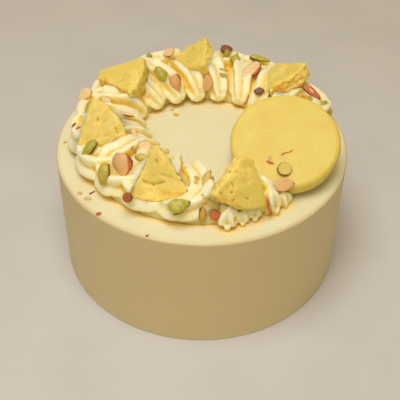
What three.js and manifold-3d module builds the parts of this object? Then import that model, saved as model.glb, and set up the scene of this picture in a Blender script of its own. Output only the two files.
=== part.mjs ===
// Rasmalai cake: a round iced cake that carries a ring of piped cream, one whole rasmalai disc,
// six wedges cut from other discs, and pieces of almond and pistachio.
// Millimetres, +Z up. The origin is on the cake's axis at its base, and the front faces -Y.
import * as THREE from 'three';
import { mergeVertices } from 'three/addons/utils/BufferGeometryUtils.js';
import Module from 'manifold-3d';

const wasm = await Module();
wasm.setup();

// Cake body
const CAKE_RADIUS = 92;
const CAKE_HEIGHT = 85;
const CAKE_EDGE = 1.4; // rounding of the iced top and bottom edges
const CAKE_SEGMENTS = 72;
const CORNER_STEPS = 2;

const GAP = 0.3; // clearance that keeps neighbouring pieces apart
const SLIVER = 0.12; // largest sliver that is dropped from a cut surface
const MERGE_DISTANCE = 1e-4; // vertices closer than this are one

// Rasmalai: the whole disc, and wedges that are about sixths of discs of much the same size
const DISC_RADIUS = 33;
const DISC_THICKNESS = 10.5;
const DISC_EDGE = 3.4;
const DISC_SEGMENTS = 36;
// The whole disc rests on the cake at the front and on the cream behind: position with height above
// the cake, tilt, facing, spin
const DISC_PLACE = [[49.8, -24, 18], 21, -100, 0];
const WEDGE_THICKNESS = 11;
const WEDGE_EDGE = 1.8;
const WEDGE_ARC_STEPS = 7;
const WEDGE_TIP_STEPS = 3;
const WEDGE_RAGGED = 0.015; // unevenness of the arc as a share of the radius
const WEDGE_CENTRE = 0.6; // share of the radius from the tip to the point that places a wedge
const PRESSED_IN = 0.9; // share of a piece's thickness over which the cream above it is pushed aside

// Piped ring: overlapping curled strokes, laid anticlockwise seen from above
const STROKE_STEP = 18.6; // degrees from one stroke to the next
const STROKE_START = 0.6; // azimuth of the first stroke, under the disc
// Each stroke's distance from the axis to its inner end and to its outer side, and its height as a
// share of the usual
const STROKES = [
  [43, 82, 0.85], [44, 88, 1.12], [44, 87, 1.06], [46, 85.5, 1.1], [44.5, 85.5, 1.06],
  [43, 85, 1.05], [43, 86.5, 1.2], [45, 85, 1.1], [47, 84.5, 1.04], [41.5, 84, 1],
  [36, 84, 1], [33.5, 83, 1], [32.5, 80.5, 1], [32, 80, 1], [34.5, 80.5, 1],
];
const ROPE_RADIUS = 10.2;
const ROPE_RIDGES = 5;
const ROPE_GROOVE = 0.61; // radius at a groove as a share of that at a ridge
const ROPE_STEPS = 12;
const ROPE_TURN = 36; // degrees that the ridges wind round a stroke from end to end
const UNEVENNESS = 0.07; // of the rope's radius from stroke to stroke
const WANDER = 0.04; // of a stroke's place, as a share of a step

// One stroke: share of the ring's width outward, share of a step along, height, share of the rope
const STROKE_PATH = [
  [0.5, -0.56, 11, 0.5],
  [0.78, -0.54, 12.5, 0.84],
  [0.99, -0.24, 9.5, 0.97],
  [1.0, 0.14, 9, 1],
  [0.86, 0.45, 10.5, 1],
  [0.58, 0.46, 13, 0.97],
  [0.32, 0.26, 11.5, 0.9],
  [0.12, 0.1, 8, 0.8],
  [0, 0, 5.2, 0.6],
];

// Upright star-shaped drops that close the ring at the front right, the low ones in front of the two
// high ones: azimuth, distance, radius, height, and how far the tip is drawn in toward the middle
const DROPS = [
  [-77, 66, 11.5, 21, 3],
  [-61, 66, 11, 22, 3],
  [-78.5, 76.8, 6.4, 14, -1],
  [-72, 76, 5.2, 10, -1],
  [-66, 74.2, 6, 12, -1],
  [-58, 73.5, 6.8, 17, 1],
  [-51, 74.5, 5.4, 10, 0],
];
// One drop: share of its height, share of its lean, share of its radius
const DROP_PATH = [
  [-0.05, 0, 0.92],
  [0.4, 0, 1],
  [0.75, 0.3, 0.7],
  [1, 1, 0.12],
];
const DROP_RIDGES = 5;
const DROP_TURN = 10;
const DROP_STEPS = 6;

// Low bed of cream under the strokes, which fills the ring between them
const BED_RADIUS = 61;
const BED_WIDTH = 30;
const BED_HEIGHT = 13;
const BED_LEAD = 4; // degrees that it starts before the first stroke
const BED_STEPS = 40;
const BED_SIDES = 10;

// Wedges of rasmalai: position with height above the cake, tilt, facing, spin, then radius, the worn
// tip's rounding and the angle between the cut sides
const WEDGES = {
  rasmalai_wedge_front_left: [[-24.4, -54, 15.6], 46.9, -95, 8.8, 35.4, 2.4, 60],
  rasmalai_wedge_front_right: [[21.8, -63.5, 21], 51.2, -62, -28.2, 37.1, 6.2, 55],
  rasmalai_wedge_left: [[-62.2, -11.4, 18.3], 43, -86, 130, 33, 2.4, 60],
  rasmalai_wedge_back_left: [[-51, 36.5, 22.2], 17, -130, 116, 36, 3.6, 53],
  rasmalai_wedge_back: [[-5.1, 68.6, 17], 28.6, -172.3, 43.9, 32.2, 2.4, 69],
  rasmalai_wedge_back_right: [[52.6, 39.6, 22.5], 25.1, 177.2, 120.1, 32.2, 6.6, 59],
};

// Nuts: shape, position with height above the cake, tilt, facing, spin, then length, width, thickness.
// A slice is a flat leaf-shaped piece, a half is domed, and a coin is a round cross-cut.
const ALMONDS = [
  ['half', [-45.5, -47.5, 20], 50, -100, 18, 17, 11.5, 4.5],
  ['slice', [-75, 24, 19], 40, -110, -40, 12, 7.5, 2.4],
  ['slice', [-60.5, 15.8, 19], 40, -100, 60, 7.5, 5.5, 1.8],
  ['slice', [-47, 1.5, 19.7], 20, -90, 75, 10, 2.6, 1.6],
  ['slice', [-41, -15.5, 17.5], 50, -90, 5, 9, 3.6, 1.6],
  ['slice', [-35.5, -28.5, 17], 45, -90, 110, 12, 8, 1.8],
  ['coin', [-41.4, -69.2, 13.9], 50, -118, 0, 5.8, 5.8, 2.4],
  ['slice', [7.4, -75, 6.6], 50, -90, 75, 7.2, 6, 3.6],
  ['slice', [47, -56.5, 14], 45, -90, 95, 13, 8.4, 2.4],
  ['half', [-18, 42, 16.5], 50, -90, 18, 13.5, 8, 3.5],
  ['slice', [-23, 70, 22], 30, -90, 120, 8.5, 6.5, 2.5],
  ['slice', [3, 43, 15.4], 62, -90, 5, 11.5, 7.5, 2],
  ['slice', [16, 77.2, 20.4], 15, -90, 90, 9, 5.5, 3],
  ['slice', [32.5, 53.5, 19], 40, -90, -45, 17, 9, 3],
  ['slice', [37, 31.5, 17.5], 40, -90, 95, 7, 4.5, 3],
  ['slice', [70.5, 28.2, 19.5], 45, -90, 53, 15.5, 5, 3],
];
const PISTACHIOS = [
  ['half', [-12.5, -77.5, 15.5], 35, -95, 115, 14, 8.5, 5],
  ['half', [-56, -52.5, 17], 45, -100, -8, 13.5, 7.5, 4.5],
  ['half', [-66.5, -31.5, 19], 40, -110, -28, 13.5, 6.5, 4],
  ['half', [-70, 5.5, 22], 45, -100, -25, 11, 5.5, 3.5],
  ['half', [-35, -42, 21], 35, -90, 80, 8, 5, 3],
  ['half', [0.8, -75.5, 6.6], 60, -90, 0, 10.5, 4.5, 3.5],
  ['half', [3, -58.5, 18], 40, -90, -19, 12.5, 5.5, 3],
  ['coin', [48, -46, 16.5], 21, -100, 0, 8.4, 8.4, 2],
  ['half', [-27, 44, 21], 50, -90, 35, 12, 8.5, 5],
  ['half', [14, 50, 17], 40, -90, 62, 6.5, 3.2, 2],
  ['half', [22.5, 66, 19], 45, -90, 0, 10.5, 7.5, 4],
  ['slice', [38, 66, 20.3], 20, -90, 75, 15.5, 4, 2.5],
  ['half', [81, 15, 13], 45, -90, 0, 6, 4.5, 3],
];
const LEAF_STEPS = 12;
const LEAF_EDGE = 0.5;
const LEAF_POINT = 0.28; // how far a leaf-shaped nut narrows toward one end
const DOME_SEGMENTS = 10;
// Half a nut, as shares of its half length and of its thickness
const DOME_PROFILE = [[0, -0.5], [0.9, -0.5], [1, -0.2], [0.75, 0.25], [0, 0.5]];
const COIN_SIDES = 12;
const COIN_TAPER = 0.92;

// Small bits of nut that stick to the cream: position with height above the cake, and size
const BITS = [
  [[16.5, 72.5, 20], 4.5],
  [[70, 24, 16], 4.2],
  [[78, 19, 17], 4.2],
  [[-36.5, 68.5, 20], 3.6],
];
const BIT_FORM = [1, 0.8, 0.7];
const BIT_SIDES = 6;
const BIT_RINGS = 4;

const FINISHES = {
  icing: { color: '#ecdeaa', roughness: 0.55 },
  cream: { color: '#f0e4b4', roughness: 0.5 },
  rasmalai: { color: '#e9cd69', roughness: 0.5 },
  almond: { color: '#dea86e', roughness: 0.45 },
  pistachio: { color: '#aaa62f', roughness: 0.45 },
};

const radians = THREE.MathUtils.degToRad;

// Even, repeatable variation between -1 and 1 for the nth item of a row
function uneven(n, channel) {
  return Math.sin(n * 12.9898 + channel * 4.137);
}

function polar(azimuth, distance, height) {
  const angle = radians(azimuth);
  return new THREE.Vector3(distance * Math.cos(angle), distance * Math.sin(angle), height);
}

function material(finish) {
  return new THREE.MeshStandardMaterial({ ...FINISHES[finish], metalness: 0 });
}

// Closed triangle mesh with shared vertices and without faces that collapsed to a line
function welded(geometry) {
  const bare = geometry.clone();
  bare.deleteAttribute('normal');
  bare.deleteAttribute('uv');
  const merged = mergeVertices(bare, MERGE_DISTANCE);
  const index = merged.getIndex().array;
  const kept = [];
  for (let i = 0; i < index.length; i += 3) {
    const [a, b, c] = [index[i], index[i + 1], index[i + 2]];
    if (a !== b && b !== c && c !== a) {
      kept.push(a, b, c);
    }
  }
  merged.setIndex(kept);
  return merged;
}

function toSolid(geometry, matrix = new THREE.Matrix4()) {
  const placed = welded(geometry).applyMatrix4(matrix);
  return new wasm.Manifold(new wasm.Mesh({
    numProp: 3,
    vertProperties: new Float32Array(placed.getAttribute('position').array),
    triVerts: new Uint32Array(placed.getIndex().array),
  }));
}

function toGeometry(solid) {
  const mesh = solid.getMesh();
  const geometry = new THREE.BufferGeometry();
  const positions = new Float32Array(mesh.vertProperties);
  geometry.setAttribute('position', new THREE.BufferAttribute(positions, 3));
  geometry.setIndex(Array.from(mesh.triVerts));
  return geometry;
}

// The main body of a cut solid, without slivers along its cuts and without loose scraps
function largestBody(solid) {
  let body = solid;
  for (const sliver of [SLIVER, 0]) {
    const bodies = toSolid(toGeometry(body)).simplify(sliver).decompose();
    body = bodies.sort((a, b) => b.volume() - a.volume())[0];
  }
  return body;
}

// The same shape, larger by twice the clearance on every side of its box, which leaves at least the
// clearance along its slanting sides
function grown(geometry) {
  const larger = geometry.clone();
  larger.computeBoundingBox();
  const centre = larger.boundingBox.getCenter(new THREE.Vector3());
  const size = larger.boundingBox.getSize(new THREE.Vector3());
  const factor = size.clone().addScalar(4 * GAP).divide(size);
  larger.translate(-centre.x, -centre.y, -centre.z);
  larger.scale(factor.x, factor.y, factor.z);
  larger.translate(centre.x, centre.y, centre.z);
  return larger;
}

// Orientation of a flat piece whose face normal leans from vertical by tilt toward the azimuth
// facing, and whose length runs down the slope, then turned in its own plane by spin
function leaning(tilt, facing, spin) {
  const lean = new THREE.Quaternion().setFromAxisAngle(
    polar(facing + 90, 1, 0), radians(tilt));
  const heading = new THREE.Quaternion().setFromAxisAngle(
    new THREE.Vector3(0, 0, 1), radians(facing + spin));
  return lean.multiply(heading);
}

function place(name, geometry, finish, [at, tilt, facing, spin]) {
  const mesh = new THREE.Mesh(geometry, material(finish));
  mesh.name = name;
  mesh.position.set(at[0], at[1], CAKE_HEIGHT + at[2]);
  mesh.quaternion.copy(leaning(tilt, facing, spin));
  mesh.updateMatrixWorld(true);
  return mesh;
}

// Quarter circles that round the outer corners of a lathe profile
function roundedProfile(radius, bottom, top, edge) {
  const profile = [new THREE.Vector2(0, bottom)];
  for (let i = 0; i <= CORNER_STEPS; i += 1) {
    const angle = radians(-90 + (90 * i) / CORNER_STEPS);
    profile.push(new THREE.Vector2(
      radius - edge + edge * Math.cos(angle), bottom + edge + edge * Math.sin(angle)));
  }
  for (let i = 0; i <= CORNER_STEPS; i += 1) {
    const angle = radians((90 * i) / CORNER_STEPS);
    profile.push(new THREE.Vector2(
      radius - edge + edge * Math.cos(angle), top - edge + edge * Math.sin(angle)));
  }
  profile.push(new THREE.Vector2(0, top));
  return profile;
}

function cakeGeometry() {
  const profile = roundedProfile(CAKE_RADIUS, 0, CAKE_HEIGHT, CAKE_EDGE);
  return new THREE.LatheGeometry(profile, CAKE_SEGMENTS).rotateX(Math.PI / 2);
}

function discGeometry() {
  const half = DISC_THICKNESS / 2;
  const profile = roundedProfile(DISC_RADIUS, -half, half, DISC_EDGE);
  return new THREE.LatheGeometry(profile, DISC_SEGMENTS).rotateX(Math.PI / 2);
}

// About a sixth of a disc, its worn tip toward -X, centred on the point that places it
function wedgeGeometry(number, radius, tip, between) {
  const half = radians(between / 2);
  const outline = new THREE.Shape();
  const tipCentre = tip / Math.sin(half);
  outline.absarc(tipCentre, 0, tip, Math.PI / 2 + half, 1.5 * Math.PI - half, false);
  for (let i = 0; i <= WEDGE_ARC_STEPS; i += 1) {
    const angle = -half + (2 * half * i) / WEDGE_ARC_STEPS;
    const reach = radius * (1 + WEDGE_RAGGED * uneven(i, number));
    outline.lineTo(reach * Math.cos(angle), reach * Math.sin(angle));
  }
  outline.closePath();
  const geometry = new THREE.ExtrudeGeometry(outline, {
    depth: WEDGE_THICKNESS - 2 * WEDGE_EDGE,
    curveSegments: WEDGE_TIP_STEPS,
    bevelEnabled: true,
    bevelSize: WEDGE_EDGE,
    bevelThickness: WEDGE_EDGE,
    bevelOffset: -WEDGE_EDGE,
    bevelSegments: 2,
  });
  return geometry.translate(-WEDGE_CENTRE * radius, 0, WEDGE_EDGE - WEDGE_THICKNESS / 2);
}

// A flat leaf-shaped slice that narrows toward +X
function leafGeometry(length, width, thickness) {
  const outline = new THREE.Shape();
  for (let i = 0; i < LEAF_STEPS; i += 1) {
    const angle = (2 * Math.PI * i) / LEAF_STEPS;
    const x = (length / 2) * Math.cos(angle);
    const y = (width / 2) * Math.sin(angle) * (1 - LEAF_POINT * Math.cos(angle));
    if (i === 0) {
      outline.moveTo(x, y);
    } else {
      outline.lineTo(x, y);
    }
  }
  outline.closePath();
  const geometry = new THREE.ExtrudeGeometry(outline, {
    depth: thickness - 2 * LEAF_EDGE,
    bevelEnabled: true,
    bevelSize: LEAF_EDGE,
    bevelThickness: LEAF_EDGE,
    bevelOffset: -LEAF_EDGE,
    bevelSegments: 1,
  });
  return geometry.translate(0, 0, LEAF_EDGE - thickness / 2);
}

// Half a nut with its round side up
function domeGeometry(length, width, thickness) {
  const lathe = new THREE.LatheGeometry(
    DOME_PROFILE.map(([x, y]) => new THREE.Vector2(x, y)), DOME_SEGMENTS);
  return lathe.rotateX(Math.PI / 2).scale(length / 2, width / 2, thickness);
}

function coinGeometry(diameter, thickness) {
  return new THREE.CylinderGeometry(
    diameter / 2, COIN_TAPER * diameter / 2, thickness, COIN_SIDES).rotateX(Math.PI / 2);
}

function nutGeometry(shape, length, width, thickness) {
  if (shape === 'half') {
    return domeGeometry(length, width, thickness);
  }
  if (shape === 'coin') {
    return coinGeometry(length, thickness);
  }
  return leafGeometry(length, width, thickness);
}

// Closed rope with a star-shaped section that follows a curve and swells and tapers with it
function ropeGeometry(curve, radiusAt, ridges, turn, steps) {
  const sides = 2 * ridges;
  const geometry = new THREE.CylinderGeometry(1, 1, 1, sides, steps);
  const positions = geometry.getAttribute('position');
  const up = new THREE.Vector3(0, 0, 1);
  for (let i = 0; i < positions.count; i += 1) {
    const spot = new THREE.Vector3().fromBufferAttribute(positions, i);
    const share = THREE.MathUtils.clamp(spot.y + 0.5, 0, 1);
    const angle = Math.atan2(spot.z, spot.x);
    const side = Math.round((angle * sides) / (2 * Math.PI));
    const star = side % 2 === 0 ? 1 : ROPE_GROOVE;
    const spread = Math.hypot(spot.x, spot.z) * star * radiusAt(share);
    const tangent = curve.getTangent(share);
    const across = new THREE.Vector3().crossVectors(up, tangent);
    if (across.lengthSq() < MERGE_DISTANCE ** 2) {
      across.set(0, 1, 0); // the curve starts straight up
    }
    across.normalize();
    const over = new THREE.Vector3().crossVectors(tangent, across);
    const wound = angle + radians(turn) * share;
    const centre = curve.getPoint(share);
    centre.addScaledVector(across, spread * Math.cos(wound));
    centre.addScaledVector(over, -spread * Math.sin(wound));
    positions.setXYZ(i, centre.x, centre.y, centre.z);
  }
  return geometry;
}

// Smooth value between evenly spread samples
function smoothly(samples) {
  const curve = new THREE.SplineCurve(samples.map((value, i) => new THREE.Vector2(i, value)));
  return (share) => curve.getPoint(share).y;
}

function strokeGeometry(number) {
  const azimuth = STROKE_START + number * STROKE_STEP;
  const rope = ROPE_RADIUS * (1 + UNEVENNESS * uneven(number, 1));
  const [inside, reach, rise] = STROKES[number];
  const outside = reach - rope;
  const points = STROKE_PATH.map(([out, along, height]) => polar(
    azimuth + STROKE_STEP * (along + WANDER * uneven(number, 3)),
    THREE.MathUtils.lerp(inside, outside, out),
    CAKE_HEIGHT + height * rise));
  const radiusAt = smoothly(STROKE_PATH.map(([, , , share]) => share * rope));
  return ropeGeometry(new THREE.CatmullRomCurve3(points), radiusAt, ROPE_RIDGES, ROPE_TURN, ROPE_STEPS);
}

function dropGeometry([azimuth, distance, radius, height, lean]) {
  const points = DROP_PATH.map(([rise, inward]) => polar(
    azimuth, distance - inward * lean, CAKE_HEIGHT + rise * height));
  const radiusAt = smoothly(DROP_PATH.map(([, , share]) => share * radius));
  return ropeGeometry(new THREE.CatmullRomCurve3(points), radiusAt, DROP_RIDGES, DROP_TURN, DROP_STEPS);
}

function bedGeometry() {
  const first = STROKE_START - BED_LEAD;
  const last = DROPS[1][0] + 360;
  const points = [];
  for (let i = 0; i <= BED_STEPS; i += 1) {
    const azimuth = THREE.MathUtils.lerp(first, last, i / BED_STEPS);
    points.push(polar(azimuth, BED_RADIUS, CAKE_HEIGHT));
  }
  const section = new THREE.Shape();
  section.absellipse(0, 0, BED_HEIGHT, BED_WIDTH / 2, 0, 2 * Math.PI, false, 0);
  return new THREE.ExtrudeGeometry(section, {
    steps: BED_STEPS,
    curveSegments: BED_SIDES,
    extrudePath: new THREE.CatmullRomCurve3(points),
  });
}

// The ring of piped cream, flat underneath, before anything is pressed into it
function ringSolid() {
  let ring = toSolid(bedGeometry());
  for (let i = 0; i < STROKES.length; i += 1) {
    ring = ring.add(toSolid(strokeGeometry(i)));
  }
  for (const drop of DROPS) {
    ring = ring.add(toSolid(dropGeometry(drop)));
  }
  for (const [[x, y, height], size] of BITS) {
    const bit = new THREE.SphereGeometry(size / 2, BIT_SIDES, BIT_RINGS).scale(...BIT_FORM);
    ring = ring.add(toSolid(bit.translate(x, y, CAKE_HEIGHT + height)));
  }
  const below = new THREE.BoxGeometry(3 * CAKE_RADIUS, 3 * CAKE_RADIUS, CAKE_HEIGHT);
  below.translate(0, 0, CAKE_HEIGHT / 2 + GAP);
  return ring.subtract(toSolid(below));
}

// Cream is pushed aside by what is pressed into it, so nothing is left on top of a pressed piece
function pressed(solid, mesh, thickness) {
  const print = toSolid(grown(mesh.geometry), mesh.matrixWorld);
  const up = new THREE.Vector3(0, 0, PRESSED_IN * thickness).applyQuaternion(mesh.quaternion);
  return solid.subtract(print).subtract(print.translate(up.x, up.y, up.z));
}

function nutMeshes(kind, rows) {
  return rows.map(([shape, ...row], i) => place(
    `${kind}_${i + 1}`, nutGeometry(shape, ...row.slice(4)), kind, row.slice(0, 4)));
}

const body = new THREE.Mesh(cakeGeometry(), material('icing'));
body.name = 'iced_cake';
const disc = place('rasmalai_disc', discGeometry(), 'rasmalai', DISC_PLACE);
const wedges = Object.entries(WEDGES).map(([name, row], number) => place(
  name, wedgeGeometry(number, ...row.slice(4)), 'rasmalai', row.slice(0, 4)));
const nuts = [...nutMeshes('almond', ALMONDS), ...nutMeshes('pistachio', PISTACHIOS)];

let cream = pressed(ringSolid(), disc, DISC_THICKNESS);
for (const wedge of wedges) {
  cream = pressed(cream, wedge, WEDGE_THICKNESS);
}
for (const nut of nuts) {
  cream = cream.subtract(toSolid(grown(nut.geometry), nut.matrixWorld));
}
const ring = new THREE.Mesh(toGeometry(largestBody(cream)), material('cream'));
ring.name = 'piped_cream';

const cake = new THREE.Group();
cake.add(body, ring, disc, ...wedges, ...nuts);

export default cake;
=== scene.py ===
import math
import random
from math import radians

import bmesh
import bpy
import numpy as np
from mathutils import Matrix, Vector, noise
from mathutils.bvhtree import BVHTree


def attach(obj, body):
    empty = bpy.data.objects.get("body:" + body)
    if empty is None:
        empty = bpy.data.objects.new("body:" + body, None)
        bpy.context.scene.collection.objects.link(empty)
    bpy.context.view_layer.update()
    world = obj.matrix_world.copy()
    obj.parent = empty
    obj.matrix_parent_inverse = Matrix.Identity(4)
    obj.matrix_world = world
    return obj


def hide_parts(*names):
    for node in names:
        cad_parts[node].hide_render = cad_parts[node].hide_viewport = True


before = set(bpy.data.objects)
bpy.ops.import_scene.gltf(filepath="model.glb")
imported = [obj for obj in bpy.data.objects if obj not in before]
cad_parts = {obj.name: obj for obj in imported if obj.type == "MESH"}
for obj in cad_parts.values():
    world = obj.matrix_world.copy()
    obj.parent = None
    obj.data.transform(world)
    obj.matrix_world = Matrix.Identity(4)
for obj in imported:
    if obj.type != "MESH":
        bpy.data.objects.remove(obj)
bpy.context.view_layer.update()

MM = 0.001
SEED = 41

# Cake body
CAKE_RADIUS = 92
CAKE_HEIGHT = 85
CAKE_EDGE = 1.6
CAKE_SIDES = 288
CAKE_INSET = 0.25  # keeps the uneven icing inside the cake's true radius
FOOT_SHADE_REACH = 5  # how far the painted golden contact shadow reaches round the cream's foot on the icing
RIM_BAND = 4  # how far in from the cake's side its rim is wavy
RIM_DEPTH = 2.5  # and how far down

# Camera that fits the photograph: place, angle that it looks down at, roll, focal length
CAMERA_PLACE = (-0.74, -407.6, 404.8)
CAMERA_PITCH = 42.23
CAMERA_ROLL = 0.64
CAMERA_LENS = 73.19
CAMERA_SENSOR = 36

# Rasmalai
DISC_RADIUS = 33
DISC_THICKNESS = 10.5
DISC_EDGE = 3.4
DISC_PLACE = [(49.8, -24, 18), 21, -100, 0]  # position, tilt, facing, spin, as for the wedges
WEDGE_THICKNESS = 11
WEDGE_EDGE = 1.8
WEDGE_CORNER = 2.2
WEDGE_CENTRE = 0.6  # from the centre of a wedge's arc to its own origin, as a share of its radius
PLACE_VALUES = 4  # how many values of a row say where a piece is
# Position with height above the cake, tilt, facing, spin, radius, the worn tip's rounding, the angle
# between the cut sides, and how far the cream climbs them: 0 for a low lip, 1 for nearly the top
WEDGES = {
    "front_left": [(-24.4, -54, 15.6), 46.9, -95, 8.8, 35.4, 2.4, 60, 0.95],
    "front_right": [(21.8, -63.5, 21), 51.2, -62, -28.2, 37.1, 6.2, 55, 0.3],
    "left": [(-62.2, -11.4, 18.3), 43, -86, 130, 33, 2.4, 60, 0.95],
    "back_left": [(-51, 36.5, 22.2), 17, -130, 116, 36, 3.6, 53, 0.2],
    "back": [(-5.1, 68.6, 17), 28.6, -172.3, 43.9, 32.2, 2.4, 69, 0],
    "back_right": [(52.6, 39.6, 22.5), 25.1, 177.2, 120.1, 32.2, 6.6, 59, 0],
}
CRUMBLY_ARC = "back_right"  # the wedge whose curved side is broken too
# Pits and short cracks in a wedge's upper face, in its own plane: from, to, radius, depth
WEDGE_PITS = {
    "front_left": [
        ((-9.6, 0.2), (-8.4, 0), 0.9, 1.6), ((1.6, -8.6), (3.8, -3), 1.5, 1.1),
        ((3.8, -3), (3, 3), 1.3, 0.8), ((-1, 3), (0.5, 7), 1.6, 0.4)],
    "front_right": [
        ((7, -6.6), (7.2, -5.8), 1.2, 1.2), ((11.4, -5.2), (11, -4), 1, 1.2),
        ((8, 3), (9, 4), 1.1, 0.9), ((2, -7), (3.6, -5.8), 1.2, 0.9),
        ((9, -12), (12, -8), 2.2, 0.8)],
    "left": [((2, 3.4), (2.6, 4), 1.2, 0.9), ((5.6, -10), (6.8, -7), 1.2, 0.7)],
    "back_left": [
        ((1.2, -5.4), (1.5, -5.1), 1, 1.4), ((14.4, -5), (14.8, -4.6), 0.9, 1.1),
        ((6, -9), (9, -8), 1, 0.7)],
    "back": [((-5.6, -3), (-4, -2), 1.2, 0.8), ((3, 6), (4, 6.6), 0.9, 0.9)],
    "back_right": [((7, -4), (8.4, -3), 1.1, 1.1), ((2, 3), (2.8, 3.4), 0.9, 0.8)],
}
# Where a wedge gets an orange painted shade, in the same form without the depth
PAINTED_WEDGE_SHADE = {
    "front_left": [((9, 2.7), (11.2, 17), 2.2)],
    "front_right": [((3, 14), (12, 15), 1.8), ((12, -12), (13, -2), 2)],
    "left": [((2, -14), (9, -13), 1.6)],
    "back_left": [((12.7, -15), (18.6, -12.2), 2.4)],
    "back": [((10, -6), (12, 10), 2.4)],
    "back_right": [((11, -12), (12, -6), 2)],
}
# Layers of relief: depth, size of the features, seed of the noise
DISC_RELIEF = [(0.4, 16, 21), (0.1, 5, 22), (0.04, 1.7, 23)]
WEDGE_RELIEF = [(0.7, 12, 31), (0.45, 5, 32), (0.13, 2.4, 39)]
CRUMB_RELIEF = [(1, 4.2, 33), (0.7, 1.7, 34)]
PIT_DEPTH = 1.8
DENT_DEPTH = 1.2
RAGGED_BAND = 5  # how far in from a wedge's outline its edge is ragged
RAGGED_DEPTH = 0.75
RASMALAI_VOXEL = 0.5
RASMALAI_SMOOTHING = 2

# Piped ring: the same strokes and drops as the part has, angles in degrees round the cake's axis
STROKE_STEP = 18.6
STROKE_START = 0.6
# Each stroke's distance from the axis to its inner end and to its outer side, and its height as a
# share of the usual
STROKES = [
    (43, 82, 0.85), (44, 88, 1.12), (44, 87, 1.06), (46, 85.5, 1.1), (44.5, 85.5, 1.06),
    (43, 85, 1.05), (43, 86.5, 1.2), (45, 85, 1.1), (47, 84.5, 1.04), (41.5, 84, 1),
    (36, 84, 1), (33.5, 83, 1), (32.5, 80.5, 1), (32, 80, 1), (34.5, 80.5, 1),
]
ROPE_RADIUS = 10.2
ROPE_RIDGES = 5
ROPE_GROOVE = 0.61  # radius in a groove as a share of the radius on a ridge
ROPE_TURN = 36  # degrees that the ridges wind round a rope
UNEVENNESS = 0.07  # how unlike the strokes are in radius
WANDER = 0.04  # and in place, as a share of a step
# A stroke's path: share of the way out, share of a step along the ring, height, share of the radius
STROKE_PATH = [
    (0.5, -0.56, 11, 0.5),
    (0.78, -0.54, 12.5, 0.84),
    (0.99, -0.24, 9.5, 0.97),
    (1.0, 0.14, 9, 1),
    (0.86, 0.45, 10.5, 1),
    (0.58, 0.46, 13, 0.97),
    (0.32, 0.26, 11.5, 0.9),
    (0.12, 0.1, 8, 0.8),
    (0, 0, 5.2, 0.6),
]
# Angle, distance from the axis, radius, height, how far the tip leans inward
DROPS = [
    (-77, 66, 11.5, 21, 3),
    (-61, 66, 11, 22, 3),
    (-78.5, 76.8, 6.4, 14, -1),
    (-72, 76, 5.2, 10, -1),
    (-66, 74.2, 6, 12, -1),
    (-58, 73.5, 6.8, 17, 1),
    (-51, 74.5, 5.4, 10, 0),
]
# A drop's path: shares of its height, lean and radius
DROP_PATH = [(-0.05, 0, 0.92), (0.4, 0, 1), (0.75, 0.3, 0.7), (1, 1, 0.12)]
DROP_RIDGES = 5
DROP_TURN = 10
DROP_SWAY = (0.1, 0.07)  # how unlike the sides of a drop are
BED_RADIUS = 61  # to the middle of the bed of cream under the strokes
BED_WIDTH = 30
BED_HEIGHT = 13
BED_LEAD = 4  # degrees that the bed starts before the first stroke
BED_STEPS = 80
BED_SIDES = 32
ROPE_SIDES = 84
ROPE_STEPS = 90
ROPE_ANGLES = -np.linspace(0, 2 * math.pi, ROPE_SIDES, endpoint=False)
ROPE_EDGE = 1.6  # the higher, the narrower the grooves between the ridges are
DROP_EDGE = 3
ROPE_CAP = 0.7  # length of a rope's round end as a share of its radius
ROPE_FOLDS = 3.4  # cross folds along a rope, where the nozzle paused
ROPE_FOLD = 0.14
FOLD_SLANT = 0.3  # how aslant the folds lie
FOLD_SHIFT = 0.37  # how much further along the folds start from one rope to the next
FOLD_BACK = 0.88  # share of a fold after which the cream falls back to the next fold
CREAM_RELIEF = [(0.3, 6, 11), (0.1, 1.8, 12)]
CREAM_VOXEL = 0.55
CREAM_SMOOTHING = 2
CREAM_SINK = 0.5  # depth of the cream's flat underside below the cake's top
HOLLOW_ROUNDS = 110  # rounds of smoothing that fill the grooves, which shows where they are
HOLLOW_DEPTH = 0.9  # a groove as deep as this gets its painted golden shade in full
PRESS_OVERLAP = 0.35  # how far the cream reaches up into the rounded underside of a piece on it
PRESS_INSET = 0.4  # how far inside a piece's outline the cream is pressed down
DISC_LIP = 2.2  # width of the cream's lip round the disc
WEDGE_LIP = 4
NUT_LIP = 1.6
LOW_LIP = 0.22  # height of the cream's lip round a piece, as a share of the lip's width
HIGH_LIP = 0.3  # how high above its middle the cream can climb a piece, as a share of its thickness

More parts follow.
